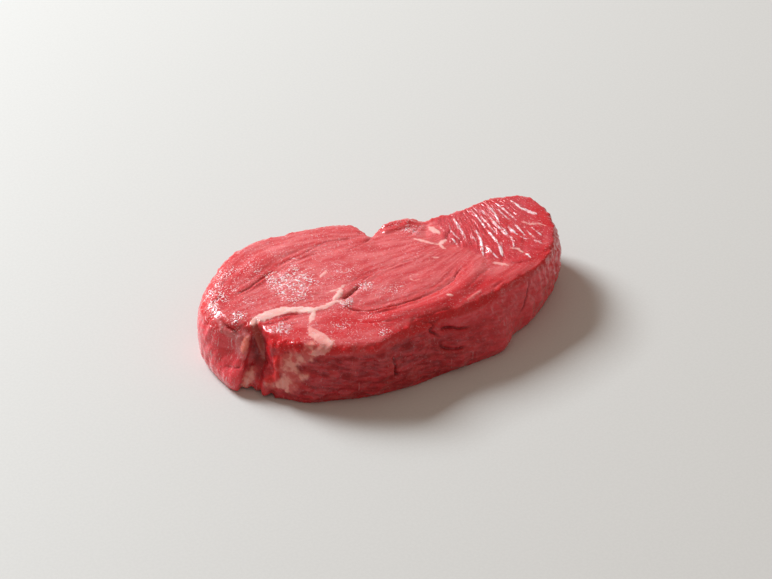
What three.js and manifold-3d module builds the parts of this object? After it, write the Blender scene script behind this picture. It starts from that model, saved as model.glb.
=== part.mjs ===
// A raw beef steak, cut across the muscles, lying on its flat lower cut face.
// Millimetres, +Z up, +X along the steak's length. The origin is at the middle of its base.
//
// The steak is one solid. A box of many faces is bent into a rounded slab with the steak's own outline,
// seams are pressed into its top, a cleft is cut into its front, and strands of fat are joined on.
import * as THREE from "three";
import { mergeVertices } from "three/addons/utils/BufferGeometryUtils.js";
import Module from "manifold-3d";

// Driving dimensions
const HALF_LENGTH = 82; // from the middle of the slab to its ends
const HALF_WIDTH = 44; // from the middle of the slab to its front and back
const RIM_HEIGHT = 26.5; // height of the cut edge round the top face
const DOME = 1.6; // how much higher the middle of the top face stands
const BELLY = 1.6; // how far the side bulges out between its rim and its base
const BASE_ROUNDING = 2.4; // radius of the lower edge
const SINK = 3; // how far the slab reaches below its base before it is cut flat
const FACES_ALONG = 78;
const FACES_ACROSS = 38;
const FACES_UP = 8;
const EDGE_CROWDING = 0.35; // how much closer the faces lie near the rim than in the middle
const SEAM_CROWDING = 0.5; // how far the faces near a seam are drawn towards it

// The cut edge of the top face seen from above, anticlockwise from the narrow right end
const RIM_PLAN = [
  [83.3, 11], [83.5, 22], [79.8, 29.2], [64, 34], [50, 31], [31, 30], [19, 33], [10, 32.5], [3.5, 28.5],
  [1, 34.5], [-3, 40.5], [-13.5, 44], [-30, 44.7], [-47.5, 44], [-60, 38.5], [-70.3, 28.3], [-78.7, 17.5],
  [-82.2, 6], [-78, -6], [-68.5, -12.5], [-62, -22], [-54, -30.5], [-32, -41.5], [-22, -43.5],
  [-13, -40.5], [-4, -36.5], [7, -34.5], [21, -34], [45, -26.5], [66, -17.5], [80, 0],
];

// The line on which the side meets the board, in the same order
const BASE_PLAN = [
  [84, 10], [83.2, 20.5], [77.5, 28.5], [64, 34], [50, 33.5], [31, 32.5], [19, 34], [6, 33], [-1, 36],
  [-12, 42], [-32, 44], [-49, 41.5], [-62, 35.5], [-73, 26], [-80, 15], [-83.5, 4.5], [-82.8, -5],
  [-81.2, -12], [-79, -18.3], [-75.5, -21.3], [-69.6, -26.9], [-61.2, -32], [-52.2, -38.5], [-38.9, -41.8],
  [-32.7, -43.6], [-22, -45], [-6, -45], [4, -43.4], [11.8, -42.4], [25, -41], [37.5, -38.6], [44.5, -31.5],
  [58.7, -23.8], [72, -12.5], [76.5, -8], [82, 0],
];

// How rounded the rim is, as [degrees round the slab, radius]
const RIM_ROUNDING = [[0, 2.5], [60, 2.5], [120, 5], [160, 8], [195, 8], [215, 4], [300, 3]];

// Seams between the muscles, pressed into the top face: a line, its depth and its half width
const SEAMS = [
  { line: [[-73, 7], [-63, 11.5], [-55, 14], [-47, 19], [-31, 24.5], [-19, 26]], depth: 1.3, half: 3 },
  { line: [[-26, -16], [-22, -20.5], [-14, -23], [7, -22], [22, -16.5], [33, -7]], depth: 1.7, half: 3 },
  { line: [[-26, -9.5], [-14.5, -3.5], [-5, -0.5], [7, 3]], depth: 1, half: 2.6 },
  { line: [[-64, -13.5], [-57, -12], [-48, -12.5], [-39, -17], [-42, -22]], depth: 0.6, half: 2.6 },
  { line: [[3, 34], [1, 27], [-8, 25.5], [-21, 27]], depth: 0.9, half: 3 },
  { line: [[31, 31], [28, 24], [25, 16], [31, 9], [40, 2], [46, -9], [54, -15]], depth: 0.8, half: 3 },
];

// Rolls of muscle and fat that stand proud of the top face: a line, its height and its half width
const ROLLS = [
  { line: [[-66, -11.5], [-59, -8.9], [-52, -8.7], [-42, -12.2], [-33, -12.5], [-25, -10.5]], height: 0.4, half: 2.8 },
  { line: [[-19, -29], [-5, -29], [9, -28], [23, -23], [33, -15], [39, -8]], height: 1.3, half: 6 },
  { line: [[-65, 19], [-53, 24], [-41, 29], [-25, 32]], height: 0.9, half: 7 },
  { line: [[9, 31], [17, 31.5], [25, 29.5]], height: 1.8, half: 3.2 },
];

// Torn grain of the muscle at the narrow end: every other row of faces stands up as a ridge
const GRAIN = { from: 37, full: 47, to: 80, front: -14, height: 0.32, waver: 2.1 };

// Folds of the side: [along X, height, reach along the side, reach upwards, how far it stands out]
const SIDE_FOLDS = [
  [-76, 17, 5, 8, -1.6], [-76, 6, 7, 7, 1.2], [-20, 14, 6, 9, 2], [-38, 8, 14, 8, 1.2], [-3, 20, 16, 6, 1],
  [15, 7, 10, 6, 1.6], [21, 20, 13, 4, -1.4], [39, 6, 8, 5, 1.4], [33, 15, 12, 5, 0.9], [53, 10, 9, 12, 1.1],
  [3, 12, 5, 8, -1.4], [79, 17, 7, 8, 1.3],
];

// The cleft in the front, near the wide end: a wedge that opens towards the front. At the board its right half
// is narrower and its left half wider than at the rim, by these shares
const CLEFT = {
  tip: [-63.8, -11.2], heading: -97, spread: 13, lowRight: 0.3, lowLeft: 4.2, reach: 34, tipRadius: 0.8,
  levels: 8, sway: 0.6,
};

// Strands and lobes joined on: points from end to end, radius, and height over width of the section
const STRANDS = {
  cleftTendon: {
    path: [[-64.2, -5, 25.2], [-64.7, -9.5, 25], [-65.1, -13.5, 21.8], [-64.6, -16.5, 16.5], [-63.4, -17.5, 9]],
    radius: 1.7, flat: 0.85,
  },
  lobeEdge: { path: [[-67.5, -11, 22.5], [-67.3, -13, 17], [-67.8, -15, 12], [-69, -16.5, 6]], radius: 2.6, flat: 1 },
  cleftFloor: { path: [[-63.5, -11, 14], [-65.8, -17.5, 8.5], [-69, -22.8, 0]], radius: 4, flat: 1 },
  pinkNub: { path: [[-67.5, -12, 11], [-70.3, -17, 6.5], [-72.8, -19.5, 0]], radius: 2.9, flat: 0.9 },
  redNub: { path: [[-60, -18, 15], [-63.4, -24.3, 8], [-68, -26.6, 0]], radius: 3.7, flat: 0.9 },
  sheathFold: { path: [[-74, -4, 20], [-71.5, -8, 17], [-70.5, -11, 11]], radius: 2.6, flat: 0.6 },
  tornFlap: { path: [[9, 30, 24.5], [17, 32, 25.5], [27.5, 31.3, 26]], radius: 2.2, flat: 0.7 },
};
const STRAND_SIDES = 10;
const STRAND_RINGS = 9;

const wasm = await Module();
wasm.setup();

const TURN = 2 * Math.PI;
const radians = THREE.MathUtils.degToRad;
const { clamp, lerp, smoothstep, euclideanModulo } = THREE.MathUtils;

// 1 at the middle of a bump and 0 at its edge and beyond
function bump(distance) {
  return distance < 1 ? (1 - distance * distance) ** 2 : 0;
}

// The value at a place in a closed list of [place, value], which repeats after one period
function valueAt(list, place, period) {
  const next = Math.max(0, list.findIndex(([at]) => at >= place));
  const before = list[(next + list.length - 1) % list.length];
  const after = list[next];
  const gap = euclideanModulo(after[0] - before[0], period) || period;
  return lerp(before[1], after[1], euclideanModulo(place - before[0], period) / gap);
}

// A closed outline as its distance from the middle for each direction, in shares of the half sizes
function radiusTable(plan, steps = 720) {
  const points = plan.map(([x, y]) => new THREE.Vector3(x / HALF_LENGTH, y / HALF_WIDTH, 0));
  const curve = new THREE.CatmullRomCurve3(points, true, "centripetal");
  const samples = curve
    .getPoints(steps)
    .slice(0, steps)
    .map((p) => [euclideanModulo(Math.atan2(p.y, p.x), TURN), Math.hypot(p.x, p.y)])
    .sort((a, b) => a[0] - b[0]);
  return (angle) => valueAt(samples, euclideanModulo(angle, TURN), TURN);
}

// A line on the top face, ready to say which of its points is nearest, how far off and how far along
function surfaceLine(points, steps = 80) {
  const curve = new THREE.SplineCurve(points.map(([x, y]) => new THREE.Vector2(x, y)));
  const samples = curve.getPoints(steps);
  return (x, y) => {
    const nearest = { distance: Infinity, along: 0, point: samples[0] };
    samples.forEach((point, i) => {
      const distance = Math.hypot(point.x - x, point.y - y);
      if (distance < nearest.distance) Object.assign(nearest, { distance, along: i / steps, point });
    });
    return nearest;
  };
}

const rimRadius = radiusTable(RIM_PLAN);
const baseRadius = radiusTable(BASE_PLAN);
const seams = SEAMS.map((seam) => ({ ...seam, measure: surfaceLine(seam.line) }));
const rolls = ROLLS.map((roll) => ({ ...roll, measure: surfaceLine(roll.line) }));

// Fades a seam or roll out towards both of its ends
function endFade(along) {
  return smoothstep(along, -0.05, 0.15) * (1 - smoothstep(along, 0.82, 1.05));
}

// Draws a plan point towards the seams near it, so that their floors follow the faces' edges
function drawnToSeams(x, y) {
  for (const { measure, half } of seams) {
    const { distance, along, point } = measure(x, y);
    const pull = SEAM_CROWDING * bump(distance / (1.8 * half)) * endFade(along);
    x = lerp(x, point.x, pull);
    y = lerp(y, point.y, pull);
  }
  return [x, y];
}

// Height of the top face at a plan point, with its dome, seams and rolls
function topHeight(x, y, share) {
  let z = RIM_HEIGHT + DOME * (1 - share * share);
  for (const { measure, depth, half } of seams) {
    const { distance, along } = measure(x, y);
    z -= depth * bump(distance / half) * endFade(along);
  }
  for (const { measure, height, half } of rolls) {
    const { distance, along } = measure(x, y);
    z += height * bump(distance / half) * endFade(along);
  }
  return z;
}

// The ridge that a row of faces makes in the torn grain
function grainHeight(x, y, u) {
  const row = Math.round(((u + 1) / 2) * FACES_ALONG);
  const side = row % 2 === 0 ? 1 : -1;
  const strength = 0.65 + 0.35 * Math.sin(GRAIN.waver * row + 0.12 * y);
  const inside = smoothstep(x, GRAIN.from, GRAIN.full) * (1 - smoothstep(x, GRAIN.to - 6, GRAIN.to));
  return side * strength * GRAIN.height * inside * smoothstep(y, GRAIN.front - 6, GRAIN.front);
}

// How far the side stands out at a plan point and height, beside its plain curve
function sideFold(x, z) {
  let out = 0;
  for (const [foldX, foldZ, reachX, reachZ, amount] of SIDE_FOLDS) {
    out += amount * bump(Math.hypot((x - foldX) / reachX, (z - foldZ) / reachZ));
  }
  return out;
}

// Where a vertex of the box from -1 to 1 goes in the slab
function slabPoint(u, v, w) {
  const crowd = (t) => t + (EDGE_CROWDING * Math.sin(Math.PI * t)) / Math.PI;
  const [cu, cv] = [crowd(u), crowd(v)];
  const discX = cu * Math.sqrt(1 - (cv * cv) / 2);
  const discY = cv * Math.sqrt(1 - (cu * cu) / 2);
  const share = Math.min(1, Math.hypot(discX, discY));
  const angle = Math.atan2(discY, discX);
  const reach = Math.hypot(HALF_LENGTH * Math.cos(angle), HALF_WIDTH * Math.sin(angle));
  const place = (radius) => [HALF_LENGTH * radius * Math.cos(angle), HALF_WIDTH * radius * Math.sin(angle)];

  const rim = rimRadius(angle);
  const rounding = valueAt(RIM_ROUNDING, euclideanModulo(THREE.MathUtils.radToDeg(angle), 360), 360);
  const rimTop = topHeight(...place(rim), 1);

  if (w > 0.999) {
    // The top face, bent down over the rim
    const inside = (1 - share) * rim * reach;
    const bend = radians(45) * (1 - clamp(inside / rounding, 0, 1));
    const inset = inside < rounding ? rounding * (1 - Math.sin(bend)) : inside;
    const [x, y] = drawnToSeams(...place(rim - inset / reach));
    return [x, y, topHeight(x, y, share) + grainHeight(x, y, u) - rounding * (1 - Math.cos(bend))];
  }
  if (w < -0.999) return [...place(baseRadius(angle) * share), -SINK];

  // The side, from below the board up to the rim
  const z = lerp(-SINK, rimTop, (w + 1) / 2);
  const bend = radians(45) * (1 + clamp((rimTop - z) / rounding, 0, 1));
  const rimInset = rounding * (1 - Math.sin(bend));
  const height = z > rimTop - rounding ? rimTop - rounding * (1 - Math.cos(bend)) : z;
  const level = clamp(height / rimTop, 0, 1);
  const under = clamp(1 - height / BASE_ROUNDING, 0, 1);
  const baseInset = BASE_ROUNDING * (1 - Math.sqrt(1 - 0.9 * under * under));
  const plain = lerp(baseRadius(angle), rim, smoothstep(level, 0, 1));
  const [plainX, plainY] = place(plain);
  const out = BELLY * Math.sin(Math.PI * level) + (plainY < 0 ? sideFold(plainX, height) : 0);
  return [...place(plain + (out - rimInset - baseInset) / reach), height];
}

// A closed three.js geometry as a solid that can be cut and joined
function solidOf(geometry) {
  const bare = geometry.clone();
  for (const name of ["normal", "uv"]) bare.deleteAttribute(name);
  const merged = mergeVertices(bare, 1e-4);
  const vertProperties = merged.attributes.position.array;
  const triVerts = new Uint32Array(merged.index.array);
  return new wasm.Manifold(new wasm.Mesh({ numProp: 3, vertProperties, triVerts }));
}

function moveVertices(geometry, move) {
  const position = geometry.attributes.position;
  for (let i = 0; i < position.count; i++) {
    position.setXYZ(i, ...move(position.getX(i), position.getY(i), position.getZ(i)));
  }
  return geometry;
}

function makeSlab() {
  return moveVertices(new THREE.BoxGeometry(2, 2, 2, FACES_ALONG, FACES_ACROSS, FACES_UP), slabPoint);
}

// What lies below the board, to be cut away
function makeUnderBoard() {
  const depth = 20;
  return new THREE.BoxGeometry(4 * HALF_LENGTH, 4 * HALF_WIDTH, depth).translate(0, 0, -depth / 2);
}

// The wedge that opens the cleft, swaying a little from level to level
function makeCleft() {
  const { tip, heading, spread, lowRight, lowLeft, reach, tipRadius, levels, sway } = CLEFT;
  const half = radians(spread);
  const wedge = new THREE.Shape();
  wedge.absarc(0, 0, tipRadius, Math.PI / 2 + half, 1.5 * Math.PI - half, false);
  wedge.lineTo(reach, -reach * Math.tan(half));
  wedge.lineTo(reach, reach * Math.tan(half));
  wedge.closePath();
  const depth = RIM_HEIGHT + 12;
  const options = { depth, steps: levels, bevelEnabled: false, curveSegments: 6 };
  const geometry = moveVertices(new THREE.ExtrudeGeometry(wedge, options), (x, y, z) => {
    const level = clamp((z - 4) / RIM_HEIGHT, 0, 1);
    return [x, y * lerp(y > 0 ? lowRight : lowLeft, 1, level), z];
  });
  geometry.rotateZ(radians(heading));
  return moveVertices(geometry, (x, y, z) => {
    const level = z / depth;
    const swing = sway * Math.sin(1.3 * TURN * level);
    return [x + tip[0] + swing, y + tip[1] + 2.5 * level * level - 0.6 * swing, z - 4];
  });
}

// A strand that follows a path, thick in its middle and closed to a point at both ends
function makeStrand({ path, radius, flat }) {
  const curve = new THREE.CatmullRomCurve3(path.map((p) => new THREE.Vector3(...p)));
  const up = new THREE.Vector3(0.3, 0.2, 0.93).normalize();
  return moveVertices(new THREE.SphereGeometry(1, STRAND_SIDES, STRAND_RINGS), (x, y, z) => {
    const at = clamp((1 - y) / 2, 0, 1);
    const centre = curve.getPoint(at);
    const ahead = curve.getTangent(at);
    const sideways = new THREE.Vector3().crossVectors(ahead, up).normalize();
    const across = new THREE.Vector3().crossVectors(sideways, ahead).normalize();
    return centre.addScaledVector(sideways, z * radius).addScaledVector(across, x * radius * flat).toArray();
  });
}

function makeSteak() {
  const opened = solidOf(makeSlab()).subtract(solidOf(makeCleft()));
  const strands = Object.values(STRANDS).map((strand) => solidOf(makeStrand(strand)));
  return strands.reduce((body, strand) => body.add(strand), opened).subtract(solidOf(makeUnderBoard()));
}

// The finished solid as a three.js geometry, set down with the middle of its base at the origin
function geometryOf(solid) {
  const mesh = solid.getMesh();
  const geometry = new THREE.BufferGeometry();
  geometry.setAttribute("position", new THREE.BufferAttribute(new Float32Array(mesh.vertProperties), 3));
  geometry.setIndex(new THREE.BufferAttribute(new Uint32Array(mesh.triVerts), 1));
  geometry.computeBoundingBox();
  const { min, max } = geometry.boundingBox;
  geometry.translate(-(min.x + max.x) / 2, -(min.y + max.y) / 2, -min.z);
  geometry.computeVertexNormals();
  return geometry;
}

const rawBeef = new THREE.MeshStandardMaterial({ color: 0xb8383f, roughness: 0.32, metalness: 0 });
const steak = new THREE.Mesh(geometryOf(makeSteak()), rawBeef);
steak.name = "steak";

const group = new THREE.Group();
group.add(steak);
export default group;
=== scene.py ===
"""A raw beef steak, lying flat: its wet red cut face, grain, furrows, fat seams, cleft and dark side."""
import math
from collections import namedtuple
from itertools import product

import bpy
import numpy as np
from mathutils import Matrix, Vector


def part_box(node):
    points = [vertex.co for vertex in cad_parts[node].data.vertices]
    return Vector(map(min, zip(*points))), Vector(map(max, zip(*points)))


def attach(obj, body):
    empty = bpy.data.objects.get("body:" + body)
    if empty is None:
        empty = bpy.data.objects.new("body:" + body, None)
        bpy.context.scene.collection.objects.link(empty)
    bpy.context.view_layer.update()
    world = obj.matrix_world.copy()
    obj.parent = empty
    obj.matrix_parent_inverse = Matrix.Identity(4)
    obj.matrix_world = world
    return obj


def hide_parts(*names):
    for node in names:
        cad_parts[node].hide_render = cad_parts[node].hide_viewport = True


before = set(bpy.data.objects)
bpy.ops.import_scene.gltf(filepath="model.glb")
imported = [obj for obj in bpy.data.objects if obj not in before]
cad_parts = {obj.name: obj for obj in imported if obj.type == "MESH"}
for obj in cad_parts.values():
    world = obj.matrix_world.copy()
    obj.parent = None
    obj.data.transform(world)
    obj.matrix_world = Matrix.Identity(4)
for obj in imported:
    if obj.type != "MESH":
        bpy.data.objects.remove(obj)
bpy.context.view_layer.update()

bl_info = {
    "name": "Raw beef steak",
    "version": (1, 0, 0),
    "blender": (4, 5, 0),
    "location": "View3D > Sidebar > Steak",
    "description": "Makes a raw beef steak round its plain solid, with a pale floor, a light and a camera",
    "category": "Object",
}

NODE = "steak"
PIECE = "beef_steak"
MM = 0.001
RANDOM_SEED = 7
# From the point that the lists below measure from to the middle of the solid's base, in millimetres
START = np.array([0.129, -0.327, 0.0])
# Rough half length and half width of the steak, in millimetres
HALF_LENGTH = 82
HALF_WIDTH = 44
# Rounds of smoothing of the fine mesh, and the share of the underside's faces that it drops
SMOOTH_ROUNDS = 18
UNDERSIDE_DROPPED = 0.94

# A furrow pressed into the meat: its line, depth, half width, and the height of its nearer lip
Furrow = namedtuple("Furrow", "line depth half lip")
# A strip of fat or sinew: its line, half width, how pale it is, and how far it stands proud
Strip = namedtuple("Strip", "line half pale height")
# A patch of the cut face: its middle, its reach along X and Y, and its strength
Patch = namedtuple("Patch", "x y reach_x reach_y strength")

# Furrows of the top face, in millimetres seen from above
TOP_FURROWS = (
    Furrow(((-66.5, 9.6), (-60, 12.3), (-52.5, 16), (-46.5, 19.3)), 1.3, 0.7, 0.4),
    Furrow(((-44, 21.3), (-38, 23.3), (-30, 25), (-22, 25.5)), 0.35, 0.5, 0.15),
    Furrow(((-26.4, -16), (-23.1, -19.5), (-17, -22.3), (-6, -22.9), (5, -21.9)), 1.8, 0.8, 0.5),
    Furrow(((-2, -22.7), (11.2, -20.6), (21.4, -16.8), (25.5, -13), (29.7, -9.2)), 0.8, 0.45, 0.2),
    Furrow(((-17.6, -22.2), (-11.6, -23), (-7, -22.8)), 0.9, 0.9, 0.5),
    Furrow(((-26.4, -10.8), (-22.2, -8.7), (-16.6, -5.2)), 2.2, 1.1, 0.2),
    Furrow(((-17.1, -4.1), (-9.1, -0.2), (-0.2, 1.9), (7.5, 2.9), (14.4, 2.7)), 0.45, 0.5, 0.15),
    Furrow(((-23.2, -28.9), (-17.3, -31.1), (-12.3, -32.1)), 0.6, 0.6, 0.2),
    Furrow(((-32.8, 24.7), (-24, 28), (-18, 29.9), (-10, 29.1), (-2.7, 28.3)), 0.45, 0.6, 0.1),
    Furrow(((-16.2, 22.5), (-8.3, 20.8), (0.3, 24.6), (3.7, 28.8)), 0.4, 0.6, 0.1),
    Furrow(((15.5, 19.8), (20.9, 22.2), (27.6, 29)), 0.4, 0.7, 0.2),
    Furrow(((31.7, 11.4), (33.6, 14.1), (36.6, 17.2)), 0.7, 0.7, 0.1),
    Furrow(((-64, -10.9), (-57.7, -11.4), (-49.9, -11.5), (-44.5, -13.5)), 0.6, 0.6, 0.1),
    Furrow(((-62.5, -12.5), (-55.9, -14.7), (-49.7, -12.8)), 0.5, 0.6, 0.1),
    Furrow(((-5.7, -34.2), (-0.8, -33.2), (6.2, -32.5), (14.3, -31.9)), 0.6, 0.6, 0.3),
    Furrow(((36.3, -26.4), (39.2, -25), (42.2, -24)), 0.6, 0.7, 0.2),
    Furrow(((23.6, -25.3), (29.5, -21), (35.5, -16.9), (42.8, -13.8)), 0.2, 0.7, 0.1),
    Furrow(((-80.2, 6.6), (-75.7, 10), (-70.8, 12.5)), 0.8, 0.8, 0.2),
    Furrow(((-71.9, 16.4), (-66, 21.9), (-60.2, 25.5)), 0.4, 0.6, 0.1),
)

# Fat and sinew that show in the top face, in millimetres seen from above
TOP_FAT = (
    Strip(((-66, -9.7), (-64.2, -8.9), (-59.4, -8.4), (-52.4, -8.2), (-47.4, -9.3)), 2.2, 1.0, 0.15),
    Strip(((-50.2, -8.6), (-46.3, -9.8), (-42.4, -11.8), (-39.2, -12.9)), 1.9, 1.0, 0.15),
    Strip(((-40.2, -12.6), (-35.4, -13), (-31.5, -11.9), (-27.4, -11.5)), 1.1, 0.9, 0.15),
    Strip(((-39.9, -13.2), (-41.5, -15.6), (-44.3, -19.6)), 1.1, 0.9, 0.15),
    Strip(((-44.5, -19.6), (-46, -24), (-46.3, -30.6)), 0.4, 0.3, 0.1),
    Strip(((-30, -10.2), (-26.8, -7.6), (-24.3, -4.2)), 1.2, 0.8, 0.35),
    Strip(((-30.4, -4.2), (-25.3, -4.1), (-21.8, -2.5)), 0.6, 0.7, 0.2),
    Strip(((-28.4, -12.1), (-26.2, -14.1)), 1.2, 0.5, 0.2),
    Strip(((-29.4, 6.9), (-25.4, 9.7)), 0.8, 0.65, 0.1),
    Strip(((27.6, 9), (27.4, 6.5), (28.3, 4.6)), 0.7, 0.8, 0.15),
    Strip(((27.1, 9.6), (31.3, 11.6)), 1.0, 0.8, 0.15),
    Strip(((27.4, 9.5), (24.9, 10.8), (22.2, 13.6), (19, 17.2)), 0.75, 0.75, 0.12),
    Strip(((28.8, 23.5), (29.6, 20.2), (30.5, 17)), 1.4, 0.75, 0.2),
    Strip(((2, 30.4), (4.5, 28.6)), 0.8, 0.8, 0.2),
    Strip(((43.3, -11.8), (46, -12.6), (48.5, -15)), 1.0, 0.55, 0.1),
    Strip(((55.3, -4.8), (57.4, -6.1), (58.8, -8.8)), 0.6, 0.9, 0.2),
    Strip(((68, 12), (70.6, 8.6), (75.2, 7.3), (76.8, 4.6)), 0.55, 0.65, 0.15),
    Strip(((20.4, 1), (22.8, 0.4)), 0.5, 0.8, 0.15),
    Strip(((15.3, -25.5), (17.3, -26.9)), 0.6, 0.8, 0.2),
    Strip(((23, -30), (26.5, -28.4), (30, -26.8)), 0.8, 0.25, 0.2),
    Strip(((-45.6, -24.2), (-44.8, -28.2), (-43.2, -31.8), (-42, -35)), 2.6, 0.6, 0.15),
    Strip(((-40.8, -34.4), (-44, -35.2), (-48, -35.4), (-52.5, -34.6)), 1.5, 0.55, 0.1),
    Strip(((10.4, -7.6), (8, -6.6), (5.8, -8), (6, -10.4), (8.6, -11.2)), 0.35, 0.5, 0.12),
)

# Pale wet ridges of the coarse muscle at the narrow end, in millimetres seen from above; their white is
# partly whitish tissue and partly painted highlight
PALE_RIDGES = (
    Strip(((41, 24.9), (40.4, 17.2), (39.6, 9.2)), 0.55, 0.8, 0.3),
    Strip(((46.2, 12.3), (45.2, 5.3), (43.4, -0.2), (41.5, -5.3)), 0.42, 1.0, 0.35),
    Strip(((45.3, 0.5), (45.8, -3.3), (46.9, -8.8)), 0.4, 0.8, 0.25),
    Strip(((51.1, 28.3), (51.2, 21.7), (51, 13.5)), 0.38, 0.8, 0.3),
    Strip(((50.9, 9.4), (51.3, 4.4), (51.2, 0.5)), 0.5, 1.0, 0.35),
    Strip(((51.3, -0.5), (50.4, -4.3), (49.2, -8)), 0.7, 0.9, 0.3),
    Strip(((53.1, 21.7), (53.2, 15.5), (53.7, 8.4)), 0.3, 0.7, 0.25),
    Strip(((55.2, 26.9), (55.7, 20.7)), 0.32, 0.7, 0.25),
    Strip(((56.4, 19.7), (56.8, 11.5), (57.3, 2.7)), 0.38, 0.9, 0.3),
    Strip(((59.7, 28.1), (59.5, 20.7), (58.2, 13.6)), 0.42, 0.9, 0.35),
    Strip(((58, 11.6), (58.3, 5.7), (58.4, 0.7)), 0.35, 0.8, 0.3),
    Strip(((58.7, 2.7), (57.4, -2.3), (56.5, -4.9)), 0.34, 0.8, 0.2),
    Strip(((60.9, 9.8), (61.5, 6.2), (61.9, 3.8)), 0.6, 1.0, 0.4),
    Strip(((62.4, 24), (62.9, 18.9), (63.5, 13.9)), 0.36, 0.8, 0.3),
    Strip(((64.1, 28.3), (65, 22), (66.5, 13.9)), 0.36, 0.8, 0.3),
    Strip(((64.3, 10.8), (64.7, 6.8), (65.2, 2)), 0.4, 0.8, 0.3),
    Strip(((67.6, 8), (67.4, 4.1), (68.1, -0.9)), 0.3, 0.7, 0.25),
    Strip(((70.5, 6.1), (71.1, 2.2), (72, -0.6)), 0.36, 0.7, 0.25),
    Strip(((70.8, 28.4), (71.7, 24.3), (72.3, 21.2)), 0.6, 0.9, 0.3),
    Strip(((72.3, 21.2), (74.2, 18.3), (76.8, 14.8)), 1.0, 0.85, 0.35),
    Strip(((33.9, 11.3), (34.4, 7.6), (34.1, 4.4)), 0.35, 0.9, 0.25),
    Strip(((36.7, 20.4), (36, 14.1), (37.1, 8.4)), 0.3, 0.6, 0.2),
    Strip(((42.6, 10.1), (43.3, 5.4)), 0.35, 0.7, 0.2),
    Strip(((62.4, 1.9), (64.4, -1)), 0.4, 0.8, 0.2),
    Strip(((59.6, -10), (60.1, -13.8)), 0.45, 0.9, 0.2),
    Strip(((67.5, -2.8), (69.2, -5.6)), 0.4, 0.8, 0.2),
)

# Patches of the side and the cleft as strings of beads, each with its middle and radius in millimetres
FAT_BEADS = (
    (-42.3, -33.6, 27.0, 2.4), (-44.8, -33.4, 27.0, 2.3), (-47.5, -33.8, 26.0, 2.5),
    (-50.0, -33.6, 24.8, 2.4), (-41.4, -34.9, 26.3, 1.2), (-43.4, -34.6, 26.0, 2.3),
    (-46.0, -34.0, 25.3, 2.9), (-48.7, -33.2, 24.4, 2.8), (-51.0, -33.5, 22.4, 2.5),
    (-52.8, -33.2, 20.5, 2.2), (-56.2, -31.0, 19.9, 3.1), (-58.2, -29.7, 19.5, 2.6),
    (-58.6, -30.6, 16.7, 3.1), (-58.0, -32.1, 14.6, 3.1), (-58.8, -32.5, 11.8, 3.4),
    (-58.6, -33.5, 9.1, 2.8), (-59.3, -33.4, 6.7, 1.5), (-55.1, -34.9, 12.9, 1.7),
    (-53.0, -35.9, 13.7, 1.1), (-61.0, -31.6, 9.2, 2.2), (-63.1, -30.4, 8.2, 1.5),
    (-64.6, -27.8, 6.7, 1.6), (-66.5, -27.2, 6.8, 1.0), (-61.5, -29.2, 15.0, 1.2),
    (-45.9, -26.9, 26.9, 0.9), (-45.1, -29.5, 26.8, 1.6), (-43.6, -32.3, 26.7, 2.0),
    (-69.9, -18.9, 9.2, 1.2), (-71.0, -19.1, 7.0, 1.8), (-72.8, -19.4, 5.0, 2.0),
    (-73.8, -19.3, 2.9, 1.6),
)
GLOW_BEADS = (
    (-62.0, -26.4, 18.6, 0.8), (-62.7, -27.5, 16.3, 1.1), (-63.1, -28.5, 13.5, 1.3),
    (-63.7, -29.1, 11.1, 1.5), (-64.8, -27.0, 8.8, 1.5), (-66.2, -26.0, 8.0, 1.0),
)
FINGER_BEADS = (
    (-70.0, -12.9, 21.5, 0.8), (-70.8, -13.6, 20.0, 1.2), (-71.6, -14.4, 18.5, 1.2),
    (-72.4, -14.9, 17.2, 0.7),
)
RED_BEADS = (
    (-60.4, -23.0, 24.8, 2.6), (-59.0, -25.7, 24.1, 2.8), (-56.7, -27.6, 24.5, 2.8),
    (-54.1, -28.9, 25.4, 2.4), (-60.7, -26.6, 20.9, 2.1), (-61.9, -26.5, 19.0, 1.7),
    (-62.4, -16.6, 25.8, 1.7), (-62.9, -18.7, 24.4, 1.8), (-63.1, -19.8, 22.3, 1.8),
    (-63.2, -20.5, 19.0, 1.8), (-68.5, -11, 24.5, 0.7), (-68.5, -24.3, 4.6, 1.9),
    (-68.8, -26.4, 3.5, 1.6), (-76, -14, 4.5, 3), (-79, -10, 4, 2.5),
)
SINEW_BEADS = (
    (-65.3, -8.5, 26.4, 1.4), (-65.9, -10.6, 26.2, 1.4), (-65.7, -12.9, 24.6, 1.4),
    (-65.5, -14.5, 22.4, 1.4), (-65.1, -15.7, 20.0, 1.4), (-64.7, -16.5, 17.6, 1.3),
    (-64.3, -17.3, 14.8, 1.2), (-63.9, -17.6, 12.5, 1.0),
)
SKIN_BEADS = (
    (-78.6, 0.4, 24.6, 0.5), (-77.8, -2.1, 24.5, 0.8), (-77.6, -5.0, 23.0, 1.0),
    (-75.9, -7.3, 22.3, 1.1), (-74.0, -9.2, 21.6, 1.5), (-72.8, -10.4, 21.3, 1.7),
    (-73.1, -11.7, 19.3, 1.4), (-73.7, -12.8, 17.1, 1.0), (-73.7, -14.8, 15.5, 0.8),
    (-73.4, -16.3, 14.8, 0.5), (-72.1, -16.7, 16.1, 0.5), (-70.6, -14.6, 18.0, 0.5),
    (-69.2, -13.0, 20.2, 0.6), (-69.2, -13.0, 22.2, 0.7), (-70.2, -11.2, 22.6, 1.1),
)
# A pale pink haze: over the pinkish-grey skin at the narrow end, and as painted sheen on the thick end where
# it faces the light
SKIN_HAZE_AND_SHEEN_BEADS = (
    (-72.8, -6.3, 25.7, 1.2), (-71.0, -8.4, 24.7, 1.4), (-69.8, -10.3, 23.5, 1.2),
    (81.5, 6, 23.5, 1.6), (80, 1, 22.5, 1.6), (-83, 6.5, 21.3, 1.8), (-84.5, 4.1, 15.7, 2.2),
    (-84.7, 1.3, 10, 2),
)
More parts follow.
